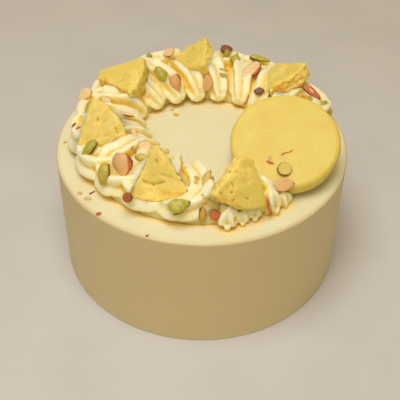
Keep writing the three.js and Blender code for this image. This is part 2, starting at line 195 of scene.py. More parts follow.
# Nuts: shape, position with height above the cake, tilt, facing, spin, length, width, thickness
ALMONDS = [
    ("half", (-45.5, -47.5, 20), 50, -100, 18, 17, 11.5, 4.5),
    ("slice", (-75, 24, 19), 40, -110, -40, 12, 7.5, 2.4),
    ("slice", (-60.5, 15.8, 19), 40, -100, 60, 7.5, 5.5, 1.8),
    ("slice", (-47, 1.5, 19.7), 20, -90, 75, 10, 2.6, 1.6),
    ("slice", (-41, -15.5, 17.5), 50, -90, 5, 9, 3.6, 1.6),
    ("slice", (-35.5, -28.5, 17), 45, -90, 110, 12, 8, 1.8),
    ("coin", (-41.4, -69.2, 13.9), 50, -118, 0, 5.8, 5.8, 2.4),
    ("slice", (7.4, -75, 6.6), 50, -90, 75, 7.2, 6, 3.6),
    ("slice", (47, -56.5, 14), 45, -90, 95, 13, 8.4, 2.4),
    ("half", (-18, 42, 16.5), 50, -90, 18, 13.5, 8, 3.5),
    ("slice", (-23, 70, 22), 30, -90, 120, 8.5, 6.5, 2.5),
    ("slice", (3, 43, 15.4), 62, -90, 5, 11.5, 7.5, 2),
    ("slice", (16, 77.2, 20.4), 15, -90, 90, 9, 5.5, 3),
    ("slice", (32.5, 53.5, 19), 40, -90, -45, 17, 9, 3),
    ("slice", (37, 31.5, 17.5), 40, -90, 95, 7, 4.5, 3),
    ("slice", (70.5, 28.2, 19.5), 45, -90, 53, 15.5, 5, 3),
]
PISTACHIOS = [
    ("half", (-12.5, -77.5, 15.5), 35, -95, 115, 14, 8.5, 5),
    ("half", (-56, -52.5, 17), 45, -100, -8, 13.5, 7.5, 4.5),
    ("half", (-66.5, -31.5, 19), 40, -110, -28, 13.5, 6.5, 4),
    ("half", (-70, 5.5, 22), 45, -100, -25, 11, 5.5, 3.5),
    ("half", (-35, -42, 21), 35, -90, 80, 8, 5, 3),
    ("half", (0.8, -75.5, 6.6), 60, -90, 0, 10.5, 4.5, 3.5),
    ("half", (3, -58.5, 18), 40, -90, -19, 12.5, 5.5, 3),
    ("coin", (48, -46, 16.5), 21, -100, 0, 8.4, 8.4, 2),
    ("half", (-27, 44, 21), 50, -90, 35, 12, 8.5, 5),
    ("half", (14, 50, 17), 40, -90, 62, 6.5, 3.2, 2),
    ("half", (22.5, 66, 19), 45, -90, 0, 10.5, 7.5, 4),
    ("slice", (38, 66, 20.3), 20, -90, 75, 15.5, 4, 2.5),
    ("half", (81, 15, 13), 45, -90, 0, 6, 4.5, 3),
]
LEAF_POINT = 0.28  # how much narrower a nut is toward its tip
NUT_TAPER = {"almond": 0.3, "pistachio": 0.4}  # how pointed both its ends are
SKIN_SIDE = 0.55  # how much more the skin shows on its side than all round
RIM_SIDE = 0.1  # the same for the dark line round the edge
SKIN_FADE = 0.2  # width of the skin's ragged border, as a share of the nut's half width
RIM_START = 0.86  # where the dark line starts, as a share of the way out
NUT_CHIPS = 2  # straight breaks in the outline of a chopped nut
NUT_STEPS = 72
# For each nut the side that its skin shows on, seen from the front, as an angle from the right
# upward, then the skin's share, how deep the flesh's colour is, and how dark an almond's skin or how
# green a pistachio is
ALMOND_SKIN = [
    (-10, 0.34, 0.6, 0.15), (0, 0, 0.05, 0), (0, 0, 0.05, 0), (-90, 0.24, 0.2, 0.9),
    (-90, 0.2, 0.15, 0.9), (180, 0.02, 0, 0.2), (0, 1, 1, 0.5), (40, 0.85, 0.9, 0.2),
    (60, 0.04, 0.5, 0.9), (40, 0.14, 0.85, 0.8), (90, 0.08, 0.4, 0.5), (180, 0.14, 0.6, 0.6),
    (0, 1, 1, 0.9), (-45, 0.3, 0.1, 0.1), (0, 1, 1, 1), (-90, 0.72, 0.4, 0.1),
]
PISTACHIO_SKIN = [
    (0, 0.12, 0, 0.6), (0, 0.28, 0.5, 0.6), (-45, 0.16, 0.3, 0.75), (180, 0.06, 0.3, 0.65),
    (180, 0.04, 0.5, 0.5), (180, 0.2, 1, 0.35), (0, 0.3, 0.6, 0.1), (180, 0.12, 0.45, 0.2),
    (180, 0.14, 0.1, 0.7), (0, 0, 0.3, 0.6), (90, 0.1, 0.3, 0.75), (180, 0.12, 0.6, 0.6),
    (0, 0.05, 0.3, 0.75),
]

# Bits of nut that stick in the cream, as the part has them: position with height above the cake,
# size, and how deep the flesh's colour is
BITS = [
    ((16.5, 72.5, 20), 4.5, 0.8),
    ((70, 24, 16), 4.2, 0.2),
    ((78, 19, 17), 4.2, 0.3),
    ((-36.5, 68.5, 20), 3.6, 0),
]
BIT_FORM = (1.25, 1, 1.05)  # length, width and thickness as shares of the size

# Loose bits lie on whatever is nearest: position with height above the cake, direction as seen from
# the front, length, width, thickness, and for bits of nut how deep the flesh's colour is, how dark or
# green the bit is, and how much of it is skin
ALMOND_CRUMBS = [
    ((-71.5, -50.7, 0), 10, 3.6, 2.2, 0.9, 0.5, 0.2, 0),
    ((-66.3, -55.4, 0), -10, 4.4, 2.2, 1, 0.4, 0.2, 0),
    ((-64.5, -50.1, 0), 55, 4.6, 1, 0.7, 1, 1, 1),
    ((-58.6, -68, 0), 20, 3.4, 2.2, 0.9, 0, 0.1, 1),
    ((-30.1, -85.3, 0), 0, 2.2, 1.3, 0.6, 1, 0.7, 1),
    ((-78.8, -6.5, 17), 70, 4.8, 1.2, 0.9, 1, 0.9, 1),
    ((-75.4, -9.9, 16.5), 60, 4, 1.3, 0.9, 1, 0.4, 1),
    ((39.9, -40.5, 16.7), -24, 5.2, 1.8, 0.8, 1, 0, 1),
    ((40.1, -36.8, 18), 100, 2.8, 2.4, 0.9, 0.3, 0.2, 0),
    ((8, -59.5, 21.5), 45, 5, 1.2, 0.9, 0.8, 0.5, 0.5),
    ((37.8, -69.6, 8.5), -78, 11, 2, 1, 1, 0.4, 0.5),
]
PISTACHIO_CRUMBS = [
    ((-86.6, -2.4, 0), 30, 2.2, 1.3, 0.7, 0.3, 0.6, 0),
    ((-36.1, 70.6, 19), 20, 3.4, 1.3, 0.8, 0, 0.8, 0),
    ((14.2, 54.2, 18.4), -10, 6.5, 1.3, 1, 0.5, 0.2, 0),
    ((-41.1, -33.1, 20.6), 60, 2.6, 1.3, 0.8, 0.2, 0.8, 0),
    ((-11, 44.8, 1.5), -15, 5, 1.8, 1, 0.2, 1, 0.4),
]
RASMALAI_CRUMBS = [
    ((-17.2, 28.2, 0), 5, 4.2, 2.8, 1),
    ((29.5, 29.8, 6), 20, 3.2, 2.4, 1),
    ((29.2, 36.2, 3.7), 50, 2.8, 2, 0.8),
    ((63.5, 27.9, 21), 35, 4, 2, 1),
    ((-24.2, 37, 0), 0, 3.2, 1.6, 0.7),
    ((-20.1, 33.7, 0), -20, 3.6, 1.5, 0.7),
    ((-2.6, -57.9, 19.2), 20, 3.6, 2.6, 0.8),
    ((-3.1, -61.1, 19), 60, 3, 2, 0.7),
]
SAFFRON = [
    ((49.8, -34.6, 19.4), 17, 7.2, 0.75, 0.45),
    ((52.6, -33.5, 20), 40, 2.6, 0.6, 0.4),
    ((47, -35.9, 19), -10, 2.4, 0.6, 0.4),
]
# Fine crumbs of rasmalai, strewn about a place: its position, reach, number of crumbs
STREWN = [
    ((4.5, -72.5, 18), 5, 22),
    ((-24, -54, 18), 17, 12),
    ((22, -66, 18), 14, 12),
    ((-5, 60, 18), 15, 8),
]
STREWN_SIZE = (0.7, 2.2)

# Studio: soft lights by place, size, power and colour, the point they aim at, and the room's glow
LIGHTS = {
    "overhead": ((-0.13, -0.3, 1.24), 0.8, 11.3, (1.0, 0.97, 0.94)),
    "front_fill": ((0.1, -1.15, 0.7), 0.9, 1.9, (1.0, 0.88, 0.62)),
    "back_fill": ((-0.2, 1.2, 0.75), 0.9, 1.1, (1.0, 0.92, 0.74)),
}
LIGHT_AIM = Vector((0, 0, 0.06))
GLOW_COLOUR = (1.0, 0.74, 0.3, 1)
GLOW_STRENGTH = 0.34
FLOOR_HALF = 3000

# A colour mix node's sockets by number, because several sockets share each name
MIX_COLOURS = (6, 7)
MIX_RESULT = 2


def uneven(n, channel):
    """Even, repeatable variation between -1 and 1 for the nth item of a row."""
    return math.sin(n * 12.9898 + channel * 4.137)


def polar(azimuth, distance, height):
    """Point at an angle in degrees and a distance from the cake's axis."""
    angle = radians(azimuth)
    return np.array([distance * math.cos(angle), distance * math.sin(angle), height])


def leaning(tilt, facing, spin):
    """Rotation of a flat piece: its normal leans toward facing, its length runs down the slope."""
    lean = Matrix.Rotation(radians(tilt), 3, Vector(polar(facing + 90, 1, 0)))
    heading = Matrix.Rotation(radians(facing + spin), 3, "Z")
    return np.array(lean @ heading)


def noise_at(points, size, seed=0):
    """Smooth noise between about -1 and 1 at points in mm, with features of the given size."""
    shift = Vector((seed * 17.3, seed * 5.1, seed * 9.7))
    return np.array([noise.noise(Vector(p) / size + shift) for p in points])


def layered(points, layers):
    """Sum of layers of noise at points in mm."""
    return sum(depth * noise_at(points, size, seed) for depth, size, seed in layers)


def in_scene(name, data):
    """A new object of the scene for a mesh, light or camera."""
    thing = bpy.data.objects.new(name, data)
    bpy.context.scene.collection.objects.link(thing)
    return thing


def from_points(name, points, faces):
    """A new mesh object from points in mm."""
    mesh = bpy.data.meshes.new(name)
    mesh.from_pydata([tuple(p) for p in np.asarray(points) * MM], [], faces)
    return in_scene(name, mesh)


def make_piece(name, points, faces, slot, material, *nodes):
    """A smooth mesh piece from points in mm, which rides on the cake and may replace CAD nodes."""
    piece = from_points(name, points, faces)
    piece.data.validate()
    piece.data.shade_smooth()
    piece.data.materials.append(material)
    if nodes:
        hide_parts(*nodes)
    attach(piece, "root")
    return piece


def vectors(items, field):
    """A row of three numbers for each item of a mesh."""
    flat = np.empty(3 * len(items), np.float32)
    items.foreach_get(field, flat)
    return flat.reshape(-1, 3).astype(float)


def points_of(mesh):
    """The points of a mesh in mm."""
    return vectors(mesh.vertices, "co") / MM


def normals_of(mesh):
    return vectors(mesh.vertex_normals, "vector")


def set_shares(piece, **shares):
    """Stores numbers for each vertex, which the material reads by their names."""
    for name, values in shares.items():
        attribute = piece.data.attributes.new(name, "FLOAT", "POINT")
        attribute.data.foreach_set("value", np.asarray(values, np.float32))


def remeshed(name, points, faces, voxel, smoothing):
    """One closed, evenly meshed skin round overlapping closed shapes, in a mesh of its own."""
    rough = from_points(name, points, faces)
    remesh = rough.modifiers.new("even", "REMESH")
    remesh.mode = "VOXEL"
    remesh.voxel_size = voxel * MM
    soften = rough.modifiers.new("soften", "SMOOTH")
    soften.factor = 0.5
    soften.iterations = smoothing
    bpy.context.view_layer.update()
    even = bpy.data.meshes.new_from_object(rough.evaluated_get(bpy.context.evaluated_depsgraph_get()))
    bpy.data.objects.remove(rough)
    return even


def faces_of(mesh):
    return [tuple(polygon.vertices) for polygon in mesh.polygons]


def hollow_share(mesh, rounds, depth):
    """For each vertex, how far it lies in a groove or pit, from 0 to 1 at the given depth in mm."""
    ends = np.empty(2 * len(mesh.edges), np.int32)
    mesh.edges.foreach_get("vertices", ends)
    ends = ends.reshape(-1, 2)
    both = np.concatenate([ends, ends[:, ::-1]])
    count = np.maximum(np.bincount(both[:, 0], minlength=len(mesh.vertices)), 1)
    start = points_of(mesh)
    smooth = start.copy()
    for _ in range(rounds):
        for axis in range(3):
            near = np.bincount(both[:, 0], smooth[both[:, 1], axis], len(mesh.vertices))
            smooth[:, axis] = 0.5 * smooth[:, axis] + 0.5 * near / count
    inward = np.einsum("ij,ij->i", smooth - start, normals_of(mesh))
    return np.clip(inward / depth, 0, 1)


# Curves, as the part's strokes have them


def spline_values(samples, share):
    """Uniform Catmull-Rom value between evenly spread samples."""
    place = share * (len(samples) - 1)
    i = min(int(place), len(samples) - 2)
    t = place - i
    a = samples[max(i - 1, 0)]
    b = samples[i]
    c = samples[i + 1]
    d = samples[min(i + 2, len(samples) - 1)]
    slope_b = (c - a) / 2
    slope_c = (d - b) / 2
    return (
        (2 * b - 2 * c + slope_b + slope_c) * t ** 3
        + (3 * c - 3 * b - 2 * slope_b - slope_c) * t ** 2
        + slope_b * t + b
    )


def curve_point(points, share):
    """Centripetal Catmull-Rom point on the curve through points."""
    place = share * (len(points) - 1)
    i = min(int(place), len(points) - 2)
    t = place - i
    b = points[i]
    c = points[i + 1]
    a = points[i - 1] if i > 0 else 2 * b - c
    d = points[i + 2] if i + 2 < len(points) else 2 * c - b
    before = math.sqrt(np.linalg.norm(b - a))
    across = math.sqrt(np.linalg.norm(c - b))
    after = math.sqrt(np.linalg.norm(d - c))
    slope_b = ((b - a) / before - (c - a) / (before + across) + (c - b) / across) * across
    slope_c = ((c - b) / across - (d - b) / (across + after) + (d - c) / after) * across
    return (
        b + slope_b * t
        + (3 * (c - b) - 2 * slope_b - slope_c) * t ** 2
        + (2 * (b - c) + slope_b + slope_c) * t ** 3
    )


def tube(rings):
    """Points and faces of a closed tube through rings of equally many points, capped by fans."""
    sides = len(rings[0])
    points = [p for ring in rings for p in ring]
    faces = []
    for i in range(len(rings) - 1):
        for j in range(sides):
            k = (j + 1) % sides
            faces.append((i * sides + j, i * sides + k, (i + 1) * sides + k, (i + 1) * sides + j))
    for ring, reverse in ((0, True), (len(rings) - 1, False)):
        centre = len(points)
        points.append(np.mean(rings[ring], axis=0))
        for j in range(sides):
            k = (j + 1) % sides
            a, b = ring * sides + j, ring * sides + k
            faces.append((centre, b, a) if reverse else (centre, a, b))
    return points, faces


def star(ridges, edge):
    """Shares of the radius round a star tube, from its ridges to the grooves between them."""
    return 1 - (1 - ROPE_GROOVE) * np.abs(np.sin(ridges * ROPE_ANGLES / 2)) ** edge


def rope(points, shares, radius, section, turn, seed, fold_depth):
    """A rope of cream along a curve, with a star's section, slanted folds and round ends."""
    body = [(i / ROPE_STEPS, 0.0, 1.0) for i in range(ROPE_STEPS + 1)]
    first = [(0.0, -math.cos(a), math.sin(a)) for a in np.linspace(0.15, 1.45, 6)]
    last = [(1.0, math.sin(a), math.cos(a)) for a in np.linspace(0.12, 1.42, 6)]
    rings = []
    for share, beyond, shrink in first + body + last:
        step = 1e-3
        low, high = max(share - step, 0), min(share + step, 1)
        tangent = curve_point(points, high) - curve_point(points, low)
        tangent /= np.linalg.norm(tangent)
        across = np.cross((0, 0, 1), tangent)
        if np.linalg.norm(across) < 1e-4:
            across = np.array([0.0, 1, 0])
        across /= np.linalg.norm(across)
        over = np.cross(tangent, across)
        size = radius * spline_values(shares, share)
        centre = curve_point(points, share) + tangent * beyond * size * ROPE_CAP
        wound = ROPE_ANGLES + radians(turn) * share
        fold = (share * ROPE_FOLDS + FOLD_SLANT * np.sin(ROPE_ANGLES + seed) + FOLD_SHIFT * seed) % 1
        fall = np.clip((fold - FOLD_BACK) / (1 - FOLD_BACK), 0, 1)
        ripple = 1 + fold_depth * (fold ** 1.5 - 0.5 * fall - 0.35)
        spread = size * shrink * section * ripple
        rings.append([
            centre + across * (s * math.cos(w)) - over * (s * math.sin(w))
            for s, w in zip(spread, wound)
        ])
    return tube(rings)


def stroke(number):
    """One curled stroke of the ring, from its outer foot up and over to its inner end."""
    azimuth = STROKE_START + number * STROKE_STEP
    radius = ROPE_RADIUS * (1 + UNEVENNESS * uneven(number, 1))
    inside, reach, rise = STROKES[number]
    outside = reach - radius
    points = [
        polar(
            azimuth + STROKE_STEP * (along + WANDER * uneven(number, 3)),
            inside + (outside - inside) * out,
            CAKE_HEIGHT + height * rise)
        for out, along, height, _ in STROKE_PATH
    ]
    shares = [row[3] for row in STROKE_PATH]
    return rope(points, shares, radius, star(ROPE_RIDGES, ROPE_EDGE), ROPE_TURN, number, ROPE_FOLD)


def drop(azimuth, distance, radius, height, lean):
    """An upright star drop of cream, whose sides are a little unlike."""
    points = [
        polar(azimuth, distance - inward * lean, CAKE_HEIGHT + rise * height)
        for rise, inward, _ in DROP_PATH
    ]
    shares = [row[2] for row in DROP_PATH]
    sway = 1 + DROP_SWAY[0] * np.sin(2 * ROPE_ANGLES + azimuth)
    sway += DROP_SWAY[1] * np.sin(3 * ROPE_ANGLES + 2 * azimuth)
    return rope(points, shares, radius, star(DROP_RIDGES, DROP_EDGE) * sway, DROP_TURN, azimuth, 0)


def bed():
    """Low bed of cream that fills the ring under the strokes, as far as the second drop."""
    sweep = 360 + DROPS[1][0] - STROKE_START + BED_LEAD
    rings = []
    for i in range(BED_STEPS + 1):
        azimuth = STROKE_START - BED_LEAD + sweep * i / BED_STEPS
        rings.append([
            polar(
                azimuth,
                BED_RADIUS - BED_WIDTH / 2 * math.cos(a),
                CAKE_HEIGHT + BED_HEIGHT * math.sin(a))
            for a in np.linspace(0, 2 * math.pi, BED_SIDES, endpoint=False)
        ])
    return tube(rings)


# Outlines of flat pieces in their own plane


def arc(centre, radius, start, end, steps):
    """Points of an arc, its angles in radians."""
    return [
        (centre[0] + radius * math.cos(a), centre[1] + radius * math.sin(a))
        for a in np.linspace(start, end, steps)
    ]


def wedge_outline(radius, tip, between, inset=0.0):
    """A sector of a disc with its worn tip toward -X, drawn in by inset all round."""
    half = radians(between / 2)
    shift = WEDGE_CENTRE * radius
    tip_centre = (tip / math.sin(half) - shift, 0.0)
    far = radius - WEDGE_CORNER
    side = half - math.asin(WEDGE_CORNER / far)
    lower = (far * math.cos(side) - shift, -far * math.sin(side))
    upper = (lower[0], -lower[1])
    quarter = math.pi / 2
    points = arc(tip_centre, tip - inset, quarter + half, 3 * quarter - half, 9)
    points += arc(lower, WEDGE_CORNER - inset, -quarter - half, -side, 7)
    points += arc((-shift, 0.0), radius - inset, -side, side, 33)[1:-1]
    points += arc(upper, WEDGE_CORNER - inset, side, quarter + half, 7)
    return points


def disc_outline(inset):
    return arc((0.0, 0.0), DISC_RADIUS - inset, 0, 2 * math.pi * (1 - 1 / 96), 96)


def nut_outline(shape, length, width, share, steps=48, taper=0.0):
    """Outline of a nut, which narrows toward +X unless it is a coin, with taper at both ends."""
    point, taper = (LEAF_POINT, taper) if shape != "coin" else (0.0, 0.0)
    outline = []
    for angle in np.linspace(0, 2 * math.pi, steps, endpoint=False):
        x = math.cos(angle)
        y = math.sin(angle) * abs(math.sin(angle)) ** taper * (1 - point * math.cos(angle))
        outline.append((share * length / 2 * x, share * width / 2 * y))
    return outline


def edge_layers(half, edge, steps):
    """Insets and heights of layers that round the upper and lower edges of a flat piece."""
    lower = [
        (edge * (1 - math.cos(a)), -half + edge - edge * math.sin(a))
        for a in np.linspace(math.pi / 2, 0, steps)
    ]
    return lower + [(inset, -height) for inset, height in reversed(lower)]


def stacked(outline_at, layers):
    """A closed solid from outlines at rising heights."""
    rings = []
    for inset, height in layers:
        rings.append([np.array([x, y, height]) for x, y in outline_at(inset)])
    return tube(rings)


def place(points, row):
    """Moves points from a piece's own frame to the cake's."""
    at, tilt, facing, spin = row[:PLACE_VALUES]
    centre = np.array(at, float) + (0, 0, CAKE_HEIGHT)
    return np.asarray(points) @ leaning(tilt, facing, spin).T + centre


def to_own(points, row):
    """Moves points from the cake's frame to a piece's own."""
    at, tilt, facing, spin = row[:PLACE_VALUES]
    centre = np.array(at, float) + (0, 0, CAKE_HEIGHT)
    return (points - centre) @ leaning(tilt, facing, spin)


def inside_outline(flat, outline):
    """Which points of the plane lie inside a closed outline."""
    result = np.zeros(len(flat), bool)
    x, y = flat[:, 0], flat[:, 1]
    for (ax, ay), (bx, by) in zip(outline, outline[1:] + outline[:1]):
        if ay == by:
            continue
        crosses = (ay > y) != (by > y)
        result ^= crosses & (x < (bx - ax) * (y - ay) / (by - ay) + ax)
    return result


def line_distance(flat, start, end):
    """Distance in mm from points of the plane to the straight line between two."""
    start = np.array(start, float)
    along = np.array(end, float) - start
    share = np.clip((flat - start) @ along / max(along @ along, 1e-9), 0, 1)
    return np.linalg.norm(flat - start - share[:, None] * along, axis=1)


def outline_distance(flat, outline):
    """Distance in mm from points of the plane to a closed outline."""
    best = np.full(len(flat), 1e9)
    for start, end in zip(outline, outline[1:] + outline[:1]):
        best = np.minimum(best, line_distance(flat, start, end))
    return best


def press(points, row, outline, thickness, above, lip, hug=0.0):
    """Pushes cream from over and inside a piece to just under it, with a lip of cream round it.

    The lip is low, or with hug it climbs the piece's side by that share.
    """
    own = to_own(points, row)
    size = max(np.linalg.norm(corner) for corner in outline)
    near = (np.hypot(own[:, 0], own[:, 1]) < size + lip) & (np.abs(own[:, 2]) < above + 2 * thickness)
    chosen = np.flatnonzero(near)
    local = own[chosen]
    covered = inside_outline(local[:, :2], outline)
    under = -thickness / 2 + PRESS_OVERLAP
    high = covered & (local[:, 2] > under) & (local[:, 2] < above)
    away = outline_distance(local[:, :2], outline)
    outside = ~covered & (np.abs(local[:, 2]) <= thickness)
    rise = np.where(outside, np.clip(1 - away / lip, 0, 1) ** 2, 0)
    climb = np.maximum(hug * (HIGH_LIP * thickness - local[:, 2]), LOW_LIP * lip)
    local[:, 2] = np.where(high, under, local[:, 2] + climb * rise)
    points[chosen] = place(local, row)
    return points


# Materials


def linear(colour):
    """Linear colour from an sRGB colour in 0 to 255."""
    shares = [c / 255 for c in colour]
    return [c / 12.92 if c <= 0.04045 else ((c + 0.055) / 1.055) ** 2.4 for c in shares] + [1.0]


class Look:
    """A node material that starts from a Principled shader."""

    def __init__(self, name, roughness, subsurface=0.0, depth=0.0, warmth=(1.0, 0.92, 0.7)):
        self.material = bpy.data.materials.new(name)
        self.material.use_nodes = True
        self.tree = self.material.node_tree
        self.shader = self.tree.nodes["Principled BSDF"]
        self.feed(self.shader, {
            "Roughness": roughness, "Subsurface Weight": subsurface,
            "Subsurface Scale": depth * MM, "Subsurface Radius": warmth})
        self.place = self.node("ShaderNodeTexCoord").outputs["Object"]

    def feed(self, node, inputs):
        """Gives a node's inputs their values, each a plain value or an output of another node."""
        for key, value in inputs.items():
            if isinstance(value, bpy.types.NodeSocket):
                self.tree.links.new(value, node.inputs[key])
            else:
                node.inputs[key].default_value = value

    def node(self, kind, inputs=None):
        node = self.tree.nodes.new(kind)
        self.feed(node, inputs or {})
        return node

    def grain(self, size, detail=3.0, stretch=None):
        """Noise from 0 to 1 with features of the given size in mm."""
        source = self.place
        if stretch:
            source = self.node("ShaderNodeMapping", {"Vector": source, "Scale": stretch}).outputs["Vector"]
        texture = self.node(
            "ShaderNodeTexNoise", {"Vector": source, "Scale": 1 / (size * MM), "Detail": detail})
        return texture.outputs["Fac"]

    def share(self, name):
        """A number that the mesh stores for each vertex."""
        attribute = self.node("ShaderNodeAttribute")
        attribute.attribute_name = name
        return attribute.outputs["Fac"]

    def enclosed(self, reach, low, high):
        """From 0 in the open to 1 where other surfaces within reach in mm close a place in."""
        shelter = self.node("ShaderNodeAmbientOcclusion", {"Distance": reach * MM})
        shelter.samples = 8
        return self.ramp(self.maths("SUBTRACT", 1.0, shelter.outputs["AO"]), low, high)

    def ramp(self, value, low, high):
        """Stretches a value so that low gives 0 and high gives 1."""
        stretch = self.node("ShaderNodeMapRange", {"Value": value, "From Min": low, "From Max": high})
        stretch.interpolation_type = "SMOOTHSTEP"
        return stretch.outputs["Result"]

    def maths(self, operation, a, b):
        """Result of a calculation on two values, each a number or an output."""
        maths = self.node("ShaderNodeMath", {0: a, 1: b})
        maths.operation = operation
        return maths.outputs["Value"]

    def mix(self, amount, first, second):
        """Colour between first and second, each an sRGB colour or an output."""
        mix = self.node("ShaderNodeMix")
        mix.data_type = "RGBA"
        ends = [linear(colour) if isinstance(colour, tuple) else colour for colour in (first, second)]
        self.feed(mix, {"Factor": amount, **dict(zip(MIX_COLOURS, ends))})
        return mix.outputs[MIX_RESULT]

    def colour(self, output):
        self.feed(self.shader, {"Base Color": output})

    def roughness(self, value, low, high):
        """Lets the roughness vary from low to high with a value from 0 to 1."""
        spread = self.node("ShaderNodeMapRange", {"Value": value, "To Min": low, "To Max": high})
        self.feed(self.shader, {"Roughness": spread.outputs["Result"]})

    def bumps(self, *layers):
        """Fine relief from several (height output, depth in mm) layers, one on another."""
        normal = {}
        for height, depth in layers:
            bump = self.node("ShaderNodeBump", {
                "Height": height, "Strength": 1.0, "Distance": depth * MM, **normal})
            normal = {"Normal": bump.outputs["Normal"]}
        self.feed(self.shader, normal)


def icing_look():
    """Smooth icing with scraper marks, painted shade on the side, and a painted golden contact shadow
    round the cream's foot.
    """
    look = Look("icing", 0.5, subsurface=0.5, depth=3)
    cloud = look.ramp(look.grain(26, 2), 0.35, 0.65)
    body = look.mix(cloud, (226, 225, 196), (224, 221, 186))
    # Painted shade: the cake's side is darker and yellower than its top.
    body = look.mix(look.share("side"), body, (214, 198, 154))
    # Painted shadow: golden contact shadow on the icing round the cream's foot.
    look.colour(look.mix(look.maths("MULTIPLY", look.share("seep"), 0.75), body, (250, 212, 92)))
    look.roughness(look.grain(3), 0.42, 0.58)
    smear = look.grain(9, 4, stretch=(1, 1, 6))
    look.bumps((smear, 0.12), (look.grain(0.9), 0.03))
    return look.material


def cream_look():
    """Whipped cream with painted golden shade in its grooves and where it is closed in."""
    look = Look("cream", 0.45, subsurface=1.0, depth=7)
    cloud = look.ramp(look.grain(12, 2), 0.35, 0.65)
    body = look.mix(cloud, (253, 243, 208), (252, 240, 198))
    # Painted shade: golden where other surfaces close the cream in.
    shaded = look.mix(look.enclosed(16, 0.1, 0.7), body, (255, 224, 128))
    # Painted shade: golden in the grooves.
    groove = look.ramp(look.share("hollow"), 0.15, 0.95)
    look.colour(look.mix(look.maths("MULTIPLY", groove, 0.95), shaded, (242, 208, 76)))
    look.roughness(look.grain(2.5), 0.38, 0.55)
    look.bumps((look.grain(2.2, 4), 0.12), (look.grain(0.6), 0.03))
    return look.material


def rasmalai_look():
    """Moist yellow curd: smooth skin and a crumbly, porous cut face, paler partly by its own colour and
    partly by painted light; painted shade in pits, and orange that is real stain on the disc and crumbs
    and painted shade on the wedges.
    """
    look = Look("rasmalai", 0.45, subsurface=0.8, depth=3, warmth=(1.0, 0.85, 0.4))
    crumbly = look.share("crumb")
    cloud = look.ramp(look.grain(14, 2), 0.3, 0.7)
    skin = look.mix(cloud, (224, 207, 110), (221, 201, 100))
    # The cut face is paler partly in its own colour and partly as painted light that offsets the shade on
    # the wedges' broken sides.
    cut = look.mix(look.ramp(look.grain(1.4, 4), 0.4, 0.62), (250, 230, 142), (236, 206, 94))
    # Painted shade: darker and more golden in pits and pores.
    pit_shade = look.maths("MULTIPLY", look.share("hollow"), 0.6)
    surface = look.mix(pit_shade, look.mix(crumbly, skin, cut), (206, 164, 48))
    # Orange: real stain on the disc and the crumbs, painted shade on the wedges.
    look.colour(look.mix(look.maths("MULTIPLY", look.share("stain"), 0.55), surface, (232, 160, 30)))
    look.roughness(look.grain(2), 0.36, 0.6)
    rough = look.maths("MULTIPLY", look.grain(1.1, 5), look.maths("ADD", crumbly, 0.25))
    look.bumps((look.grain(4, 3), 0.08), (rough, 0.24))
    return look.material


def nut_look(name, pale, deep, green, skins, rim):
    """Nut flesh and its thin skin, which the mesh's numbers place, with a dark line at the edge."""
    look = Look(name, 0.42, subsurface=0.2, depth=1.5)
    kind = look.share("kind")
    flesh = look.mix(look.share("tone"), pale, deep)
    if green:
        patchy = look.maths("ADD", kind, look.maths("SUBTRACT", look.grain(2.6, 3), 0.5))
        flesh = look.mix(look.ramp(patchy, 0.2, 0.9), flesh, green)
    streaks = look.ramp(look.grain(0.9, 4), 0.42, 0.7)
    flesh = look.mix(look.maths("MULTIPLY", streaks, 0.35), flesh, deep)
    ragged = look.maths("MULTIPLY", look.maths("SUBTRACT", look.grain(1.1, 4), 0.5), 0.7)
    covered = look.ramp(look.maths("ADD", look.share("skin"), ragged), 0.42, 0.56)
    skin = look.mix(kind, *skins) if not green else look.mix(look.grain(2), *skins)
    skin = look.mix(look.maths("MULTIPLY", look.ramp(look.grain(1.2, 4), 0.4, 0.7), 0.5), skin, rim)
    edge = look.ramp(look.maths("ADD", look.share("rim"), ragged), 0.45, 0.7)
    colour = look.mix(covered, flesh, skin)
    look.colour(look.mix(look.maths("MULTIPLY", edge, 0.75), colour, rim))
    look.roughness(look.grain(1.5), 0.34, 0.55)
    look.bumps((look.grain(0.8, 4), 0.12))
    return look.material


def plain_look(name, light, dark, size, roughness):
    """A surface with soft patches of two colours and fine bumps."""
    look = Look(name, roughness)
    look.colour(look.mix(look.ramp(look.grain(size), 0.35, 0.65), light, dark))
    look.bumps((look.grain(size / 2), 0.08))
    return look.material


# Pieces


